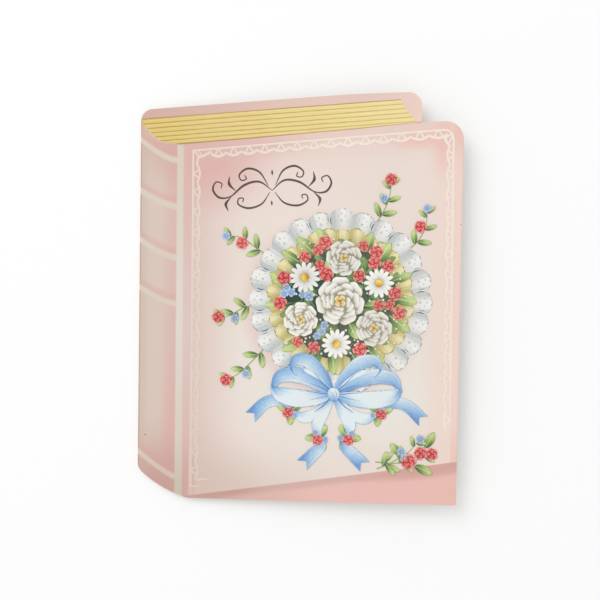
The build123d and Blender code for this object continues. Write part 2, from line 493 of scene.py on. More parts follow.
def litho_ink(name, dark, body, light, rim_ink=None, rim_width=0.14, rib_ink=None, streaks=0.0,
              slant=0.0, sweep=None):
    """Offset ink that copies a painter's wash, from dark to light, with thin drawn lines.

    The wash runs from root to tip and leans across by the slant, or sweeps over the card between
    two places in (u, v).
    """
    material, tree = new_material(name)
    along, across, rim, tone = ink_marks(tree)
    in_mm = place_in_mm(tree)
    if sweep:
        start, end = np.array(sweep) + (FOLD_X, FOOT_Y)
        heading = (end - start) / ((end - start) ** 2).sum()
        reached = add_node(tree, "ShaderNodeVectorMath", {0: in_mm, 1: (*heading, 0.0)},
                           operation="DOT_PRODUCT")
        along = add_node(tree, "ShaderNodeMath", {0: reached.outputs["Value"], 1: start @ heading},
                         operation="SUBTRACT").outputs[0]
    leaning = add_node(tree, "ShaderNodeMath", {0: across, 1: slant, 2: along}, operation="MULTIPLY_ADD")
    uneven = add_node(tree, "ShaderNodeTexNoise", {"Vector": in_mm, "Scale": 0.9, "Detail": 2.0})
    streak_place = add_node(tree, "ShaderNodeCombineXYZ", {"X": along, "Y": across, "Z": tone})
    streak_stretch = add_node(tree, "ShaderNodeMapping",
                              {"Vector": streak_place.outputs[0], "Scale": (0.8, 6.0, 9.0)})
    streak = add_node(tree, "ShaderNodeTexNoise",
                      {"Vector": streak_stretch.outputs[0], "Scale": 1.0, "Detail": 2.0})
    shifted = add_node(tree, "ShaderNodeMath", {0: uneven.outputs["Fac"], 1: 0.25, 2: leaning.outputs[0]},
                       operation="MULTIPLY_ADD")
    streaked = add_node(tree, "ShaderNodeMath",
                        {0: streak.outputs["Fac"], 1: streaks, 2: shifted.outputs[0]},
                        operation="MULTIPLY_ADD")
    wash = add_node(tree, "ShaderNodeValToRGB", {"Fac": streaked.outputs[0]})
    stops = wash.color_ramp.elements
    for stop, place, ink in ((stops[0], 0.12 + streaks / 2, dark),
                             (stops.new(0.5), 0.45 + streaks / 2, body),
                             (stops[-1], 1.0, light)):
        stop.position = min(place, 1.0)
        stop.color = linear(ink)
    paint = wash.outputs["Color"]
    if rib_ink:
        off_rib = add_node(tree, "ShaderNodeMath", {0: across}, operation="ABSOLUTE")
        rib = add_node(tree, "ShaderNodeMapRange",
                       {"Value": off_rib.outputs[0], "From Min": 0.16, "From Max": 0.02, "To Max": 0.7})
        paint = add_node(tree, "ShaderNodeMix", {"Factor": rib.outputs[0], 6: paint, 7: rib_ink},
                         data_type="RGBA").outputs[2]
    if rim_ink:
        edge = add_node(tree, "ShaderNodeMapRange",
                        {"Value": rim, "From Min": rim_width, "From Max": 0.0, "To Max": 0.9},
                        interpolation_type="SMOOTHSTEP")
        broken = add_node(tree, "ShaderNodeMapRange",
                          {"Value": uneven.outputs["Fac"], "From Min": 0.35, "From Max": 0.6})
        drawn = add_node(tree, "ShaderNodeMath", {0: edge.outputs[0], 1: broken.outputs[0]},
                         operation="MULTIPLY")
        paint = add_node(tree, "ShaderNodeMix", {"Factor": drawn.outputs[0], 6: paint, 7: rim_ink},
                         data_type="RGBA").outputs[2]
    lift = add_node(tree, "ShaderNodeMapRange", {"Value": tone, "To Min": 0.8, "To Max": 1.2})
    toned = add_node(tree, "ShaderNodeHueSaturation", {"Value": lift.outputs[0], "Color": paint})
    matt_paper(tree, toned.outputs["Color"], in_mm, 0.75)
    return material


# Drawn lines part the pages from what is round them: a pale one along the head of the spine, a
# pink one at the front cover's corner, and brown ones along the block's back and front edges.
spine_line = Plate()
edge_drop = 10.5 * np.linspace(0.1, 1, 24) ** 0.6
edge_u = page_corner(edge_drop) - 0.1
stroke(spine_line, np.stack([edge_u, page_line(edge_u, edge_drop) - 0.2], 1), (0.3, 0.5, 0.45, 0.3),
       0.04, 0.04, count=60)
finish_plate("spine_head_line", spine_line,
             litho_ink("pale_pink_litho_ink", "#dcc0b4", "#e0c6ba", "#e3cbc0"))
corner_line = Plate()
stroke(corner_line, [(108.6, 150.25), (109.6, 150.4), (110.7, 150.55)], (0.35, 0.3), 0.03, 0.03, count=12)
finish_plate("cover_corner_line", corner_line,
             litho_ink("dusty_pink_litho_ink", "#c39188", "#cf9f96", "#d8ada4"))
block_lines = Plate()
stroke(block_lines, [(0.8, 150.67), (20, 152.24), (60, 155.53), (102.4, 159.02)],
       (0.4, 0.6, 0.45, 0.6, 0.5, 0.45, 0.6, 0.5, 0.6, 0.5), 0.05, 0.05, count=120,
       shades=(0.2, 0.5, 0.3, 0.4))
stroke(block_lines, [(14.6, 141.05), (20, 141.54), (45, 143.84), (65, 145.78), (85, 147.74), (101, 149.55),
                     (108.4, 150.42)],
       (0.3, 0.6, 0.5, 0.6, 0.45, 0.35, 0.45, 0.3, 0.4, 0.2), 0.06, 0.05, count=120,
       shades=(0.1, 0.3, 0.7, 0.9))
finish_plate("page_block_lines", block_lines,
             litho_ink("ochre_brown_litho_ink", "#b28a54", "#c09964", "#cfa978"))

# The lace border. A cream line and a scalloped one inside it, joined by small crossed bars, as
# cut-paper lace. It is opaque ink, raised a little, and thins out above the ledge on its right side.
LACE_PITCH = 6.7         # mm from scallop to scallop where a unit has its own size


def node_tree(name, inputs):
    """A Geometry Nodes tree with named inputs, its input node and its output node."""
    tree = bpy.data.node_groups.new(name, "GeometryNodeTree")
    tree.interface.new_socket("Geometry", in_out="INPUT", socket_type="NodeSocketGeometry")
    tree.interface.new_socket("Geometry", in_out="OUTPUT", socket_type="NodeSocketGeometry")
    for label, kind in inputs:
        tree.interface.new_socket(label, in_out="INPUT", socket_type="NodeSocket" + kind)
    return tree, tree.nodes.new("NodeGroupInput"), tree.nodes.new("NodeGroupOutput")


# Copies one printed unit to every place: turned and sized as the place says, and toned at random.
copy_tree, given, result = node_tree("repeat_a_printed_unit", (
    ("Unit", "Object"), ("Material", "Material"), ("Tone spread", "Float"), ("Seed", "Int")))
unit = add_node(copy_tree, "GeometryNodeObjectInfo", {"Object": given.outputs["Unit"]})
turn = add_node(copy_tree, "GeometryNodeInputNamedAttribute", {"Name": "turn"}, data_type="FLOAT")
size = add_node(copy_tree, "GeometryNodeInputNamedAttribute", {"Name": "size"}, data_type="FLOAT_VECTOR")
rotation = add_node(copy_tree, "ShaderNodeCombineXYZ", {"Z": turn.outputs[0]})
copies = add_node(copy_tree, "GeometryNodeInstanceOnPoints",
                  {"Points": given.outputs["Geometry"], "Instance": unit.outputs["Geometry"],
                   "Rotation": rotation.outputs[0], "Scale": size.outputs[0]})
spread = add_node(copy_tree, "ShaderNodeMath", {0: given.outputs["Tone spread"], 1: -1.0},
                  operation="MULTIPLY")
shift = add_node(copy_tree, "FunctionNodeRandomValue",
                 {2: spread.outputs[0], 3: given.outputs["Tone spread"], "Seed": given.outputs["Seed"]},
                 data_type="FLOAT")
toned = add_node(copy_tree, "GeometryNodeStoreNamedAttribute",
                 {"Geometry": copies.outputs[0], "Name": "shift", "Value": shift.outputs[1]},
                 data_type="FLOAT", domain="INSTANCE")
solid = add_node(copy_tree, "GeometryNodeRealizeInstances", {0: toned.outputs[0]})
inked = add_node(copy_tree, "GeometryNodeSetMaterial",
                 {"Geometry": solid.outputs[0], "Material": given.outputs["Material"]})
copy_tree.links.new(inked.outputs[0], result.inputs[0])


def finish_copies(name, unit_plate, places, material, spread=0.2):
    """Prints a unit at places given as (u, v, turn in degrees, size along, size across)."""
    template = bpy.data.objects.new(name + "_unit", unit_plate.mesh(name + "_unit"))
    points = bpy.data.meshes.new(name + "_places")
    points.from_pydata([(u, v, 0.0) for u, v, *rest in places], [], [])
    points.attributes.new("turn", "FLOAT", "POINT").data.foreach_set(
        "value", [math.radians(place[2]) for place in places])
    points.attributes.new("size", "FLOAT_VECTOR", "POINT").data.foreach_set(
        "vector", [part for place in places for part in (place[3], place[4], 1.0)])
    host = bpy.data.objects.new(name + "_places", points)
    for helper in (template, host):
        bpy.context.scene.collection.objects.link(helper)
    modifier = host.modifiers.new("repeat", "NODES")
    modifier.node_group = copy_tree
    values = {"Unit": template, "Material": material, "Tone spread": spread, "Seed": 4}
    for item in copy_tree.interface.items_tree:
        if item.item_type == "SOCKET" and item.in_out == "INPUT" and item.name in values:
            modifier[item.identifier] = values[item.name]
    evaluated = host.evaluated_get(bpy.context.evaluated_depsgraph_get())
    mesh = bpy.data.meshes.new_from_object(evaluated)
    host.modifiers.remove(modifier)
    bpy.data.objects.remove(host)
    bpy.data.objects.remove(template)
    finish_piece(name, mesh, material)


def scallop_run(start, end, turn, first, last, count, depth_size):
    """Places of scallops along one side, their pitch growing evenly from first to last."""
    heading = np.array(end, float) - np.array(start, float)
    heading /= np.linalg.norm(heading)
    pitches = np.linspace(first, last, count)
    reach = np.concatenate([[0], np.cumsum((pitches[1:] + pitches[:-1]) / 2)])
    return [(*(np.array(start) + heading * far), turn, pitch / LACE_PITCH, depth_size)
            for far, pitch in zip(reach, pitches)]


# One scallop, seen with the outer line along the bottom and the scallop bulging up.
scallop = Plate()
bow = np.linspace(-1, 1, 13)
stroke(scallop, np.stack([bow * LACE_PITCH / 2, 1.9 + 1.35 * np.cos(bow * math.pi / 2) ** 0.8], 1),
       (1.0, 1.15, 1.0), 0.04, 0.05, count=25, columns=3)
for side in (-1, 1):
    stroke(scallop, [(0.1 * side, 0.2), (0.8 * side, 1.4), (1.6 * side, 2.8)], (0.65, 0.75), 0.035, 0.04,
           count=6, columns=3)
lace_ink = litho_ink("opaque_cream_litho_ink", "#dec8be", "#e7d7cb", "#f5e8db", rim_ink="#e4cabf",
                     rim_width=0.3, sweep=((8, 0), (126, 35)))
lace_places = scallop_run((30.9, 139.5), (117.0, 147.6), 180 + COVER_TILT, 6.0, 7.3, 14, 1.0)
lace_places += scallop_run((21.1, 129.3), (21.3, 89), -90, 6.9, 9.1, 5, 0.82)
lace_places += scallop_run((21.3, 89.2), (21.45, 9), -90, 8.1, 7.5, 11, 0.87)
lace_places += scallop_run((123.45, 137.8), (124.1, 34.0), 90 + MARGIN_LEAN, 7.6, 8.4, 14, 0.8)
finish_copies("lace_scallops", scallop, lace_places, lace_ink, spread=0.03)

lace_line = Plate()
stroke(lace_line, [(27.0, 4.7), (24, 4.75), (21.2, 4.8)], (0.1, 0.6, 0.8), 0.04, 0.05, count=12)
stroke(lace_line, [(21.45, 4.5), (21.35, 50), (21.3, 90), (21.05, 138.5)], (1.0, 1.05, 0.95, 0.8),
       0.045, 0.05, count=60)
stroke(lace_line, [(20.6, 138.4), (45, 140.68), (80, 143.93), (95, 145.3), (112, 146.88), (119.3, 147.5),
                   (122.0, 146.5), (123.1, 143.6), (123.2, 134), (123.5, 112), (123.65, 80), (123.9, 52),
                   (124.1, 28)],
       (0.8, 0.8, 0.8, 0.8, 0.85, 0.9, 0.9, 0.9, 0.95, 1.0, 1.0, 0.95, 0.3), 0.05, 0.05, count=180)
# Its corners: a bar on the slant with a half scallop each side, and at the right a whole one.
for knots, widths, rise, count in (
        ([(21.2, 138.4), (22.4, 137.2), (23.5, 136.1)], (0.6, 0.9), 0.05, 8),
        ([(22.5, 138.4), (23.6, 137.7), (24.6, 136.5)], (0.5, 0.6), 0.04, 8),
        ([(23.3, 135.8), (25.3, 136.5), (28.1, 138.1)], (1.0, 1.0), 0.05, 12),
        ([(23.5, 136.4), (22.9, 134.9), (22.6, 132.6)], (1.0, 0.9), 0.05, 12),
        ([(119.5, 145.5), (119.9, 143.8), (120.7, 142.4), (122.0, 141.1)], (1.0, 1.1, 1.0), 0.05, 20),
        ([(122.4, 146.3), (121.4, 145.4), (120.2, 144.5)], (0.6, 0.7), 0.04, 8),
        ([(122.6, 146.0), (122.2, 144.3), (121.4, 142.5)], (0.6, 0.7), 0.04, 8),
        ([(23.9, 7.2), (26.4, 7.7), (29.8, 7.3)], (1.1, 1.0, 0.1), 0.05, 16)):
    stroke(lace_line, knots, widths, 0.04, rise, count=count)
finish_plate("lace_outer_line", lace_line, lace_ink)

# The collar. Two rings of ruffled paper, white lace outside and pale yellow inside, printed as a
# posy's doily: every flute is domed, with a scalloped and picoted rim and drawn cut-outs.
POSY = np.array((80.0, 80.0))          # middle of the posy, (u, v) in mm


def ruffle(count, inner, outer, lobe, level, picots):
    """One flute of a ring of ruffled paper, drawn from the ring's middle towards +u."""
    flute = Plate()
    out = np.linspace(0, 1, 12)[:, None]
    across = np.linspace(-1, 1, 21)[None, :]
    angle = across * math.pi / count
    picot_edge = 0.3 * np.abs(np.cos(across * math.pi * picots / 2))
    scallop_edge = lobe * np.cos(across * math.pi / 2) ** 0.7 + picot_edge
    radius = inner + (outer - lobe - inner + scallop_edge) * out
    height = level + 0.08 * np.cos(across * math.pi / 2) * out + 0.012 * np.cos(across * 9) * out
    top = np.stack([radius * np.cos(angle), radius * np.sin(angle), height], -1)
    flute.strip(top, out, across, rim=(1 - out) * (outer - inner) / 4 + 0 * across)
    return flute


def ruffle_ink(name, ridge, valley, shade, line, cut_outs, cut_ink, length_mm, half_mm):
    """Ink of a ruffle: pale ridges, cool valleys, cut-outs and a broken line round the rim."""
    material, tree = new_material(name)
    along, across, rim, tone = ink_marks(tree)
    in_mm = place_in_mm(tree)
    # The light comes from the upper left, so the ridge of each flute lies a little to one side.
    lit_across = add_node(tree, "ShaderNodeMath", {0: across, 1: 0.2}, operation="ADD")
    off_ridge = add_node(tree, "ShaderNodeMath", {0: lit_across.outputs[0]}, operation="ABSOLUTE")
    pleat_place = add_node(tree, "ShaderNodeCombineXYZ", {"X": along, "Y": across, "Z": tone})
    pleat_stretch = add_node(tree, "ShaderNodeMapping",
                             {"Vector": pleat_place.outputs[0], "Scale": (1.0, 5.0, 40.0)})
    pleats = add_node(tree, "ShaderNodeTexNoise",
                      {"Vector": pleat_stretch.outputs[0], "Scale": 1.0, "Detail": 3.0})
    depth_in = add_node(tree, "ShaderNodeMath", {0: pleats.outputs["Fac"], 1: 1.3, 2: off_ridge.outputs[0]},
                        operation="MULTIPLY_ADD")
    folded = add_node(tree, "ShaderNodeMapRange",
                      {"Value": depth_in.outputs[0], "From Min": 0.75, "From Max": 1.7},
                      interpolation_type="SMOOTHSTEP")
    paint = add_node(tree, "ShaderNodeMix", {"Factor": folded.outputs[0], 6: ridge, 7: valley},
                     data_type="RGBA").outputs[2]
    inside = add_node(tree, "ShaderNodeMapRange",
                      {"Value": along, "From Min": 0.8, "From Max": 0.3, "To Max": 0.85})
    paint = add_node(tree, "ShaderNodeMix", {"Factor": inside.outputs[0], 6: paint, 7: shade},
                     data_type="RGBA").outputs[2]
    out_mm = add_node(tree, "ShaderNodeMath", {0: along, 1: length_mm}, operation="MULTIPLY")
    across_mm = add_node(tree, "ShaderNodeMath", {0: across, 1: half_mm}, operation="MULTIPLY")
    spot = add_node(tree, "ShaderNodeCombineXYZ", {"X": out_mm.outputs[0], "Y": across_mm.outputs[0]})
    for cut_u, cut_v, cut_radius in cut_outs:
        off = add_node(tree, "ShaderNodeVectorMath", {0: spot.outputs[0], 1: (cut_u, cut_v, 0.0)},
                       operation="DISTANCE")
        cut = add_node(tree, "ShaderNodeMapRange",
                       {"Value": off.outputs["Value"], "From Min": cut_radius + 0.15,
                        "From Max": cut_radius - 0.15, "To Max": 0.8})
        paint = add_node(tree, "ShaderNodeMix", {"Factor": cut.outputs[0], 6: paint, 7: cut_ink},
                         data_type="RGBA").outputs[2]
    weight = add_node(tree, "ShaderNodeTexNoise", {"Vector": in_mm, "Scale": 0.7, "Detail": 1.0})
    edge = add_node(tree, "ShaderNodeMapRange", {"Value": rim, "From Min": 0.11, "From Max": 0.04})
    broken = add_node(tree, "ShaderNodeMapRange",
                      {"Value": weight.outputs["Fac"], "From Min": 0.4, "From Max": 0.6})
    drawn = add_node(tree, "ShaderNodeMath", {0: edge.outputs[0], 1: broken.outputs[0]},
                     operation="MULTIPLY")
    paint = add_node(tree, "ShaderNodeMix", {"Factor": drawn.outputs[0], 6: paint, 7: line},
                     data_type="RGBA").outputs[2]
    matt_paper(tree, paint, in_mm, 0.75)
    return material


def wheel(centre, count, start=0.0, uneven=0.0):
    """Places all at one centre, turned to share out a circle, some longer than others."""
    return [(*centre, start + 360 / count * k, 1 + uneven * math.sin(2.4 * k), 1.0) for k in range(count)]


COLLAR_FLUTES = 24
LINING_FLUTES = 30
lace_paper = ruffle_ink("white_paper_lace_ink", "#f3f2ee", "#c3c9c8", "#cbcabc", "#858d90",
                        ((13.8, 0.0, 0.34), (13.1, 1.5, 0.3), (13.1, -1.5, 0.3), (11.6, 2.6, 0.26),
                         (11.6, -2.6, 0.26), (11.2, 0.0, 0.5)), "#b3bcbe", 16.0, 4.6)
white_ring = ruffle(COLLAR_FLUTES, 20.0, 36.0, 2.3, 0.05, 5)
finish_copies("lace_collar", white_ring, wheel(POSY, COLLAR_FLUTES, uneven=0.012), lace_paper)
yellow_paper = ruffle_ink("pale_yellow_litho_ink", "#eee6b4", "#c9ba72", "#a3965a", "#75693c", (), "",
                          10.0, 3.0)
yellow_ring = ruffle(LINING_FLUTES, 19.0, 28.6, 1.3, 0.13, 3)
finish_copies("collar_lining", yellow_ring, wheel(POSY, LINING_FLUTES, 5, 0.02), yellow_paper)

# Short slate pen strokes stand in the valleys of the rim, where each fold turns under.
slate_ink = litho_ink("slate_blue_litho_ink", "#3f4a60", "#4f5b72", "#657189")
fold_stroke = Plate()
stroke(fold_stroke, [(30.2, -0.1), (31.6, 0.15), (33.0, -0.1)], (0.1, 0.42, 0.3), 0.1, 0.03,
       count=8, columns=3)
stroke(fold_stroke, [(31.2, 0.9), (32.4, 1.05), (33.6, 0.95)], (0.1, 0.25, 0.1), 0.12, 0.03,
       count=6, columns=3)
fold_places = [place for k, place in enumerate(wheel(POSY, COLLAR_FLUTES, 180 / COLLAR_FLUTES))
               if k not in (2, 5, 8, 9, 14, 19, 22)]
finish_copies("collar_pen_strokes", fold_stroke, fold_places, slate_ink)

# The greenery of the posy. Leaves over a moss-green bed, the upper ones reaching out over the
# collar, each printed and faintly domed as embossing leaves it.


def petal_outline(reach, width, blunt=1.0, points=22, notch=0.0):
    """Outline of a petal or leaf on +u from (0, 0): blunt 1 is round, above that is pointed."""
    turn = np.linspace(0, 2 * math.pi, points, endpoint=False)
    along = (1 - np.cos(turn)) / 2
    wide = np.sign(np.sin(turn)) * np.abs(np.sin(turn)) ** blunt
    from_tip = np.minimum(turn, 2 * math.pi - turn) - math.pi
    return np.stack([reach * along - notch * np.exp(-from_tip ** 2 * 9), width / 2 * wide], 1)


def turned(points, degrees, shift=(0, 0)):
    """Points turned about (0, 0), then moved."""
    c = math.cos(math.radians(degrees))
    s = math.sin(math.radians(degrees))
    return np.array(points, float) @ np.array(((c, s), (-s, c))) + np.array(shift, float)


def round_posy(angle, reach):
    """A spot so many degrees round the posy and so many mm from its middle."""
    return turned([(reach, 0)], angle, POSY)[0]


posy_bed = Plate()
bed_turn = np.linspace(0, 2 * math.pi, 60, endpoint=False)
bed_reach = 22.5 + 0.9 * np.sin(bed_turn * 9) + 0.5 * np.sin(bed_turn * 14 + 1)
posy_bed.patch(POSY + np.stack([bed_reach * np.cos(bed_turn), bed_reach * np.sin(bed_turn)], 1),
               POSY - (24, 0), POSY + (24, 0), 0.18, 0.02)
finish_plate("posy_bed", posy_bed,
             litho_ink("moss_green_litho_ink", "#324336", "#3d5040", "#4a5f48",
                       rim_ink="#2c3a30", rim_width=0.05))

leaf = Plate()
leaf.patch(petal_outline(9.5, 3.9, blunt=1.35, points=24), (0, 0), (9.5, 0), 0.22, 0.06)
shade_leaf = Plate()
shade_leaf.patch(petal_outline(7.0, 3.2, blunt=1.35, points=16), (0, 0), (7.0, 0), 0.2, 0.04)
leaf_ink = litho_ink("leaf_green_litho_ink", "#33503f", "#77994f", "#c2d48a", rim_ink="#3c5240",
                     rim_width=0.1, rib_ink="#dbe4ae", streaks=0.25, slant=0.22)
shade_leaf_ink = litho_ink("deep_green_litho_ink", "#22382f", "#456244", "#7f9c5c", rim_ink="#22332c",
                           rim_width=0.12, rib_ink="#94aa70", streaks=0.3, slant=0.2)
random.seed(7)
shade_places = []
for k in range(84):
    reach = 21.0 * math.sqrt(random.uniform(0.1, 1.0))
    angle = random.uniform(0, 360)
    shade_places.append((*round_posy(angle, reach), angle + random.uniform(-70, 70),
                         random.uniform(0.8, 1.1), random.uniform(0.8, 1.2)))
finish_copies("shade_leaves", shade_leaf, shade_places, shade_leaf_ink)
leaf_places = []
for angle, reach, long, wide in (
        (4, 21, 1.0, 1.1), (22, 22, 0.85, 0.9), (47, 20, 1.1, 1.2), (63, 22, 0.85, 0.9),
        (101, 21, 1.0, 1.0), (118, 20, 1.15, 1.1), (137, 22, 0.9, 0.9), (167, 20, 1.1, 1.2),
        (181, 21, 0.95, 0.9), (226, 21, 1.0, 1.1), (243, 22, 0.9, 0.9), (262, 20, 1.0, 1.1),
        (283, 21, 1.05, 1.1), (300, 22, 0.9, 0.9), (345, 20, 1.1, 1.1)):
    leaf_places.append((*round_posy(angle, reach), angle + 24 * math.sin(angle * 3), long, wide))
for angle, reach, aim in (
        (52, 8.5, 60), (168, 9, 150), (292, 9, 300), (112, 10, 100), (232, 9.5, 250), (350, 9.5, 4)):
    leaf_places.append((*round_posy(angle, reach), aim, 0.8, 1.0))
finish_copies("posy_leaves", leaf, leaf_places, leaf_ink)

# The large flowers. Cream cabbage roses, whose petals overlap from the outside in, and daisies
# round a stippled golden button.


def rosette(plate, rings, level, step, shade_from=0.5, blunt=0.75, notch=0.0):
    """Overlapping rings of petals, each ring given as (count, reach, width, outward, start)."""
    for ring, (count, reach, width, outward, start) in enumerate(rings):
        for k in range(count):
            angle = start + 360 / count * k
            outline = petal_outline(reach, width, blunt, notch=notch) + (outward, 0)
            root = turned([(outward + reach * shade_from, 0)], angle)[0]
            tip = turned([(outward + reach, 0)], angle)[0]
            petal_level = level + step * (ring + 0.3 * (k % 2))
            petal_tone = 0.5 + 0.06 * math.sin(2.1 * k + ring)
            plate.patch(turned(outline, angle), root, tip, petal_level, 0.05, petal_tone)


rose = Plate()
rose_heart = Plate()
rosette(rose, ((7, 5.6, 6.4, 3.0, 8), (6, 5.0, 5.8, 1.9, 34), (5, 4.4, 4.9, 0.9, 10),
               (4, 3.4, 3.9, 0.3, 50)), 0.27, 0.03, notch=0.35)
rosette(rose_heart, ((4, 2.1, 2.2, 0.1, 20), (3, 1.3, 1.4, 0.0, 65)), 0.4, 0.02, shade_from=0.2)
rose_ink = litho_ink("cream_white_litho_ink", "#9c9683", "#e2ded2", "#f6f4ee", rim_ink="#868a80",
                     rim_width=0.1, streaks=0.3, slant=0.16)
rose_heart_ink = litho_ink("straw_yellow_litho_ink", "#a8762f", "#dcc076", "#f1e4b4", rim_ink="#8c6a33",
                           rim_width=0.2, slant=0.2)
rose_places = [(*round_posy(angle, reach), angle + 30, size, size) for angle, reach, size in (
    (0, 0.0, 1.15), (86, 17.0, 0.84), (206, 17.2, 0.82), (322, 17.0, 0.86))]
finish_copies("rose_petals", rose, rose_places, rose_ink)
finish_copies("rose_hearts", rose_heart, rose_places, rose_heart_ink)

daisy_petal = Plate()
daisy_button = Plate()
rosette(daisy_petal, ((14, 5.3, 1.75, 0.4, 0),), 0.3, 0.03, shade_from=0.12, blunt=0.7)
daisy_button.patch(turned(petal_outline(3.0, 3.0), 0, (-1.5, 0)), (-1.0, -1.6), (1.0, 1.4), 0.34, 0.1)
daisy_ink = litho_ink("soft_white_litho_ink", "#a9ab9c", "#e9e8e1", "#f7f6f1", rim_ink="#7f8889",
                      rim_width=0.2, streaks=0.2, slant=0.12)
button_ink = litho_ink("golden_litho_ink", "#a9541b", "#e3a62c", "#f6d566", rim_ink="#86481a", rim_width=0.2,
                       streaks=0.5)
daisy_places = [(*round_posy(angle, reach), angle, size, size)
                for angle, reach, size in ((26, 16.8, 1.06), (147, 16.8, 1.1), (266, 17.0, 1.04))]
finish_copies("daisy_petals", daisy_petal, daisy_places, daisy_ink)
finish_copies("daisy_buttons", daisy_button, daisy_places, button_ink)

# The small flowers. Coral button roses and clusters of blue forget-me-nots fill the gaps between
# the large ones and spill over the rim.
button_rose = Plate()
forget = Plate()
forget_eye = Plate()
rosette(button_rose, ((5, 1.7, 2.2, 0.8, 0), (4, 1.3, 1.7, 0.3, 40), (3, 0.9, 1.1, 0.0, 10)), 0.32, 0.03,
        shade_from=0.35)
coral_ink = litho_ink("coral_litho_ink", "#b23641", "#de5c5a", "#f6b0a4", rim_ink="#943038", rim_width=0.14,
                      slant=0.2)
rosette(forget, ((5, 1.7, 1.5, 0.0, 0),), 0.31, 0.02, shade_from=0.0)
forget_eye.patch(petal_outline(0.8, 0.8, points=12) - (0.4, 0), (-0.4, 0), (0.4, 0), 0.36, 0.03)
forget_ink = litho_ink("cornflower_blue_litho_ink", "#3a5aa2", "#7aa2da", "#bcd5f0", rim_ink="#3a528a",
                       rim_width=0.16)

random.seed(12)
KNOT = np.array((78.0, 43.0))          # middle of the bow that is tied below the posy
taken = [(np.array(place[:2]), 8.4 * place[3]) for place in rose_places]
taken += [(np.array(place[:2]), 5.4) for place in daisy_places]
taken += [(KNOT + (across, up), 6.0) for across in range(-20, 25, 5) for up in (4, 9)]


def fill_gaps(clusters, each, radius, nearest, furthest, gap):
    """Places for clusters of small flowers in the gaps that the others and the bow leave."""
    places = []
    for _ in range(9000):
        if len(places) >= clusters * each:
            break
        if len(places) % each:
            beside = turned([(2 * radius * gap + 0.1, 0)], random.uniform(0, 360))[0]
            spot = np.array(places[-1][:2]) + beside
        else:
            spot = round_posy(random.uniform(0, 360), random.uniform(nearest, furthest))
        clear = all(np.linalg.norm(spot - other) > room + radius * gap for other, room in taken)
        if clear and nearest < np.linalg.norm(spot - POSY) < furthest:
            size = random.uniform(0.85, 1.2)
            places.append((*spot, random.uniform(0, 360), size, size))
            taken.append((spot, radius * gap))
    return places


forget_places = fill_gaps(9, 3, 1.6, 9.0, 25.0, 0.84)
coral_places = fill_gaps(19, 1, 2.4, 8.0, 24.0, 0.84)
dot_places = fill_gaps(60, 1, 0.75, 7.5, 27.0, 0.9)
finish_copies("coral_button_roses", button_rose, coral_places, coral_ink)
finish_copies("forget_me_nots", forget, forget_places, forget_ink)
finish_copies("gypsophila_dots", forget_eye, dot_places, daisy_ink)
finish_copies("forget_me_not_eyes", forget_eye, forget_places, button_ink)

# The bow. A pale blue satin ribbon tied under the posy: each loop shows its shaded inside above
# and its light outside below, and the tails twist as they fall and end in swallow cuts.
ribbon = Plate()


def ribbon_run(knots, widths, shades, level, notch=0.0):
    """One run of ribbon from the knot, in mm from the knot, over what lies below its level."""
    stroke(ribbon, KNOT + np.array(knots), widths, level, 0.06, count=48, shades=shades,
           columns=7, notch=notch)


LIGHT_SIDE = (0.1, 0.6, 0.9, 0.6, 0.1)
SHADED_SIDE = (0.0, 0.25, 0.45, 0.3, 0.05)
for side in (1, -1):
    for knots, widths, shades, level in (
            ([(0.5, -0.2), (5.4, -6.6), (12.0, -9.4), (17.6, -6.6)], (2.2, 4.2, 4.6, 1.0), LIGHT_SIDE, 0.24),
            ([(17.4, -6.8), (22.4, -3.0), (28.0, -4.0), (33.4, -9.0)], (1.0, 4.4, 4.8, 5.2),
             SHADED_SIDE, 0.22),
            ([(0.4, -0.4), (3.8, -7.0), (6.4, -12.4), (5.4, -17.2)], (2.2, 4.4, 4.8, 1.0), LIGHT_SIDE, 0.28),
            ([(5.5, -16.9), (4.9, -20.6), (8.2, -24.2), (11.6, -27.6)], (1.0, 4.4, 5.0, 5.4),
             SHADED_SIDE, 0.26),
            ([(0.3, 0.5), (4.4, 7.5), (10.0, 12.7), (15.4, 13.4), (17.8, 9.8)], (2.0, 4.2, 5.6, 4.6, 1.2),
             SHADED_SIDE, 0.42),
            ([(0.3, 0.2), (5.4, 3.8), (11.4, 7.2), (15.8, 8.2), (17.9, 10.1)], (2.0, 4.8, 5.6, 4.4, 1.2),
             LIGHT_SIDE, 0.44),
            ([(0.5, 0.2), (7.0, 4.2), (15.0, 7.4), (22.0, 6.6), (25.4, 2.2)], (2.2, 4.6, 6.2, 5.2, 1.3),
             SHADED_SIDE, 0.46),
            ([(0.5, -0.2), (7.5, -1.6), (15.5, -1.8), (22.0, -0.4), (25.6, 2.5)], (2.4, 5.8, 7.2, 6.0, 1.3),
             LIGHT_SIDE, 0.48)):
        tail = knots[-1] in ((33.4, -9.0), (11.6, -27.6))
        drape = 1 + 0.04 * side
        ribbon_run([(x * side * drape, y) for x, y in knots], widths, shades, level, 2.4 if tail else 0.0)
ribbon.patch(KNOT + petal_outline(4.8, 5.4, blunt=0.8) - (2.4, 0), KNOT + (-2.2, -2.6),
             KNOT + (2.0, 2.6), 0.54, 0.1)
satin_ink = litho_ink("pale_blue_satin_litho_ink", "#6b9cd2", "#a6cae8", "#e6f0f2", rim_ink="#5584bd",
                      rim_width=0.1, streaks=0.35, slant=0.2)
finish_plate("ribbon_bow", ribbon, satin_ink)

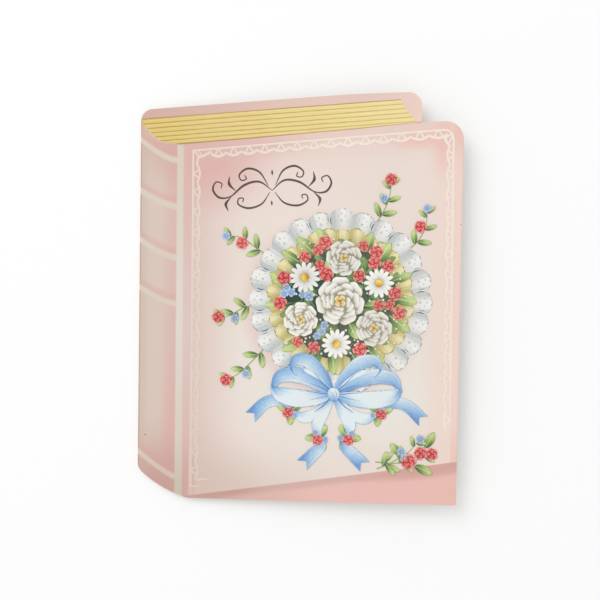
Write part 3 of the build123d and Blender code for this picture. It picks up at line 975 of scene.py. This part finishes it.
# Creases pinched into the ribbon by its knot, drawn in a deeper blue.
creases = Plate()
for side in (1, -1):
    for knots in ([(1.8, 0.9), (5.0, 2.6), (9.5, 4.2)], [(2.2, 0.1), (6.0, 0.5), (11.0, 1.0)],
                  [(2.2, -0.6), (6.0, -1.6), (10.0, -2.4)], [(1.6, 1.6), (4.6, 4.6), (8.0, 8.4)],
                  [(1.4, -1.4), (4.0, -4.4), (7.6, -7.0)], [(25.2, 3.0), (24.2, 0.8), (22.4, -1.2)],
                  [(17.7, 10.2), (16.8, 8.4), (15.2, 7.0)]):
        pinched = [KNOT + (x * side * (1 + 0.04 * side), y) for x, y in knots]
        stroke(creases, pinched, (0.45, 0.3, 0.08), 0.5, 0.1, count=16, columns=3)
for knots in ([(-1.4, 1.2), (-0.2, 0.2), (0.4, -1.6)], [(0.6, 1.8), (1.2, 0.4), (1.0, -1.0)]):
    stroke(creases, KNOT + np.array(knots), (0.1, 0.3, 0.1), 0.6, 0.06, count=12, columns=3)
finish_plate("ribbon_creases", creases,
             litho_ink("deep_blue_litho_ink", "#2f558f", "#4474b4", "#6d97cc"))

# The penned flourish. Dark brown strokes of a broad pen, swelling on each curve, that make a plain
# scroll, the same on both sides of its middle.
flourish = Plate()
FLOURISH = np.array((52.4, 124.6))
for side in (1, -1):
    for knots, widths in (
            ([(0.0, -1.2), (5.0, 1.9), (11.0, 1.0), (16.5, -2.4), (21.0, -2.6), (23.4, 0.0), (22.2, 2.5),
              (19.8, 2.0), (20.2, 0.5)], (0.2, 0.65, 0.75, 0.4, 0.7, 0.65, 0.45, 0.4, 0.3)),
            ([(1.4, 0.4), (4.6, 5.0), (9.2, 6.4), (12.6, 4.6), (12.0, 2.7), (10.0, 3.0), (10.5, 4.3)],
             (0.2, 0.6, 0.7, 0.5, 0.4, 0.4, 0.3)),
            ([(1.0, -1.8), (4.4, -5.4), (9.6, -6.6), (13.6, -5.2), (13.4, -3.3), (11.6, -3.3), (11.9, -4.5)],
             (0.2, 0.55, 0.7, 0.5, 0.4, 0.4, 0.3)),
            ([(14.4, -0.7), (16.8, 1.6), (16.6, 4.2)], (0.15, 1.0, 0.15)),
            ([(16.4, -2.6), (18.6, -4.8), (17.8, -7.2)], (0.15, 1.0, 0.15))):
        mirrored_knots = [(x * side, 1.2 * y) for x, y in knots]
        stroke(flourish, turned(mirrored_knots, 4, FLOURISH), [1.2 * width for width in widths],
               0.02, 0.03, count=44, columns=3)
for off, long in ((5.6, 2.6), (-6.4, 2.2)):
    diamond = turned([(-0.45, 0), (0, -long / 2), (0.45, 0), (0, long / 2)], 4, FLOURISH + (0, off))
    flourish.patch(diamond, diamond[1], diamond[3], 0.02, 0.03)
pen_ink = litho_ink("sepia_litho_ink", "#4a3d3a", "#574846", "#665652")
finish_plate("penned_flourish", flourish, pen_ink)

# The sprigs. Thin stems with paired leaves, button roses and forget-me-nots: five that reach out
# from under the collar, sprigs caught in the ribbon's twists, and a little bunch on the ledge.
stems = Plate()
sprig_leaves = []
sprig_corals = []
sprig_blues = []
for knots, pairs, long, flowers in (
        ([round_posy(38, 34.5), (110.6, 105.0), (113.0, 110.5), (113.4, 117.0)], 3, 0.58, "cb"),
        ([round_posy(66, 34.5), (96.4, 115.6), (98.6, 121.4), (99.2, 128.0)], 3, 0.6, "bc"),
        ([round_posy(149, 34.5), (45.6, 101.0), (40.6, 104.4), (34.6, 105.0)], 3, 0.6, "cb"),
        ([round_posy(184, 34.5), (41.4, 76.4), (36.4, 73.4), (31.8, 72.8)], 3, 0.6, "bc"),
        ([round_posy(213, 34.5), (46.4, 56.4), (40.6, 50.6), (35.2, 47.8)], 3, 0.62, "bc"),
        ([(95.5, 13.8), (101.0, 16.4), (107.5, 20.4), (112.5, 26.0)], 3, 0.6, "bb"),
        ([(95.0, 16.6), (101.0, 16.2), (108.5, 17.0), (117.0, 20.2)], 3, 0.6, "bc")):
    line = smooth_line(knots, 40)
    stroke(stems, line[::6], (0.6, 0.5, 0.3), 0.02, 0.04, count=40, columns=3)
    for k in range(pairs):
        at = int(39 * (k + 0.5) / pairs)
        heading = math.degrees(math.atan2(*(line[min(at + 1, 39)] - line[at - 1])[::-1]))
        size = long * (1.05 - 0.4 * k / pairs)
        sprig_leaves += [(*line[at], heading + 52, size, size),
                         (*line[min(at + 3, 39)], heading - 48, size, size)]
    for k, flower in enumerate(flowers):
        at = 39 if k == len(flowers) - 1 else int(39 * (k + 1.2) / len(flowers))
        heading = line[min(at + 1, 39)] - line[at - 1]
        left = np.array((-heading[1], heading[0])) / np.linalg.norm(heading)
        aside = left * (0 if at == 39 else 1.8 * (-1) ** k)
        place = (*(line[at] + aside), 40 * k, 1.0, 1.0)
        (sprig_corals if flower == "c" else sprig_blues).append(place)
for twist, turn in (((17.9, -6.7), -40), ((-16.9, -6.9), 215), ((5.5, -16.9), -60), ((-5.4, -17.2), 240)):
    place = KNOT + twist
    sprig_leaves += [(*place, turn + bend, 0.6, 0.8) for bend in (-55, 55, 180)]
    sprig_corals += [(*(place + turned([(1.2, 0)], turn)[0]), turn, 0.95, 0.95)]
    sprig_blues += [(*(place + turned([(2.4, 0)], turn + bend)[0]), turn, 0.8, 0.8) for bend in (100, -110)]
sprig_corals += [(108.0, 17.0, 10, 1.25, 1.25), (112.6, 20.4, 50, 1.05, 1.05)]
sprig_leaves += [(110.5, 15.4, -24, 0.8, 0.9), (114.4, 22.6, 60, 0.75, 0.9), (104.5, 19.6, 130, 0.6, 0.8)]
finish_plate("sprig_stems", stems, leaf_ink)
finish_copies("sprig_leaves", leaf, sprig_leaves, leaf_ink)
finish_copies("sprig_button_roses", button_rose, sprig_corals, coral_ink)
finish_copies("sprig_blues", forget, sprig_blues, forget_ink)
finish_copies("sprig_blue_eyes", forget_eye, sprig_blues, button_ink)

# The table, the light and the camera, none of it part of the card. A white sweep and one large
# soft box light the print evenly from the upper left, as a copy stand would.
SWEEP_HALF = 3.0                       # m
LAMP_SIZE = 1.6                        # m
LAMP_POWER = 21.0                      # watts
LAMP_PLACE = (-1.05, 1.2, 1.8)         # m
LENS_LENGTH = 69.36                    # mm, for a sensor 36 mm wide
CAMERA_PLACE = (0.000637, 0.017722, 0.462109)        # m
CAMERA_TURN = (-2.338, 0.0346, 0.9116)               # degrees
floor_mesh = bpy.data.meshes.new("table_top")
floor_corners = [(SWEEP_HALF * x, SWEEP_HALF * y, 0) for x, y in ((-1, -1), (1, -1), (1, 1), (-1, 1))]
floor_mesh.from_pydata(floor_corners, [], [(0, 1, 2, 3)])
floor = bpy.data.objects.new("table_top", floor_mesh)
bpy.context.scene.collection.objects.link(floor)
matt_white, floor_tree = new_material("matt_white_paper_sweep")
light_path = add_node(floor_tree, "ShaderNodeLightPath")
white = add_node(floor_tree, "ShaderNodeBsdfDiffuse", {"Color": (0.86, 0.86, 0.86, 1.0)})
glow = add_node(floor_tree, "ShaderNodeEmission", {"Color": (1.0, 1.0, 1.0, 1.0), "Strength": 0.16})
lit = add_node(floor_tree, "ShaderNodeAddShader", {0: white.outputs[0], 1: glow.outputs[0]})
seen = add_node(floor_tree, "ShaderNodeMixShader",
                {0: light_path.outputs["Is Camera Ray"], 1: white.outputs[0], 2: lit.outputs[0]})
add_node(floor_tree, "ShaderNodeOutputMaterial", {"Surface": seen.outputs[0]})
floor_mesh.materials.append(matt_white)

world = bpy.data.worlds.new("white_studio")
bpy.context.scene.world = world
world.use_nodes = True
sky_tree = world.node_tree
sky_tree.nodes.clear()
ray = add_node(sky_tree, "ShaderNodeLightPath")
mirrored = add_node(sky_tree, "ShaderNodeMath",
                    {0: ray.outputs["Is Glossy Ray"], 1: ray.outputs["Is Transmission Ray"]},
                    operation="MAXIMUM")
shown = add_node(sky_tree, "ShaderNodeMath", {0: mirrored.outputs[0], 1: ray.outputs["Is Camera Ray"]},
                 operation="MAXIMUM")
level = add_node(sky_tree, "ShaderNodeMapRange", {"Value": shown.outputs[0], "To Min": 0.72, "To Max": 1.0})
sky = add_node(sky_tree, "ShaderNodeBackground",
               {"Color": (1.0, 1.0, 1.0, 1.0), "Strength": level.outputs[0]})
add_node(sky_tree, "ShaderNodeOutputWorld", {"Surface": sky.outputs[0]})

lamp = bpy.data.lights.new("soft_box", "AREA")
lamp.shape = "SQUARE"
lamp.size = LAMP_SIZE
lamp.energy = LAMP_POWER
soft_box = bpy.data.objects.new("soft_box", lamp)
soft_box.location = LAMP_PLACE
soft_box.rotation_euler = (-soft_box.location).to_track_quat("-Z", "Y").to_euler()
bpy.context.scene.collection.objects.link(soft_box)

lens = bpy.data.cameras.new("camera")
lens.sensor_width = 36.0
lens.lens = LENS_LENGTH
camera = bpy.data.objects.new("camera", lens)
camera.location = CAMERA_PLACE
camera.rotation_euler = [math.radians(angle) for angle in CAMERA_TURN]
bpy.context.scene.collection.objects.link(camera)
bpy.context.scene.camera = camera
bpy.context.scene.view_settings.view_transform = "Standard"
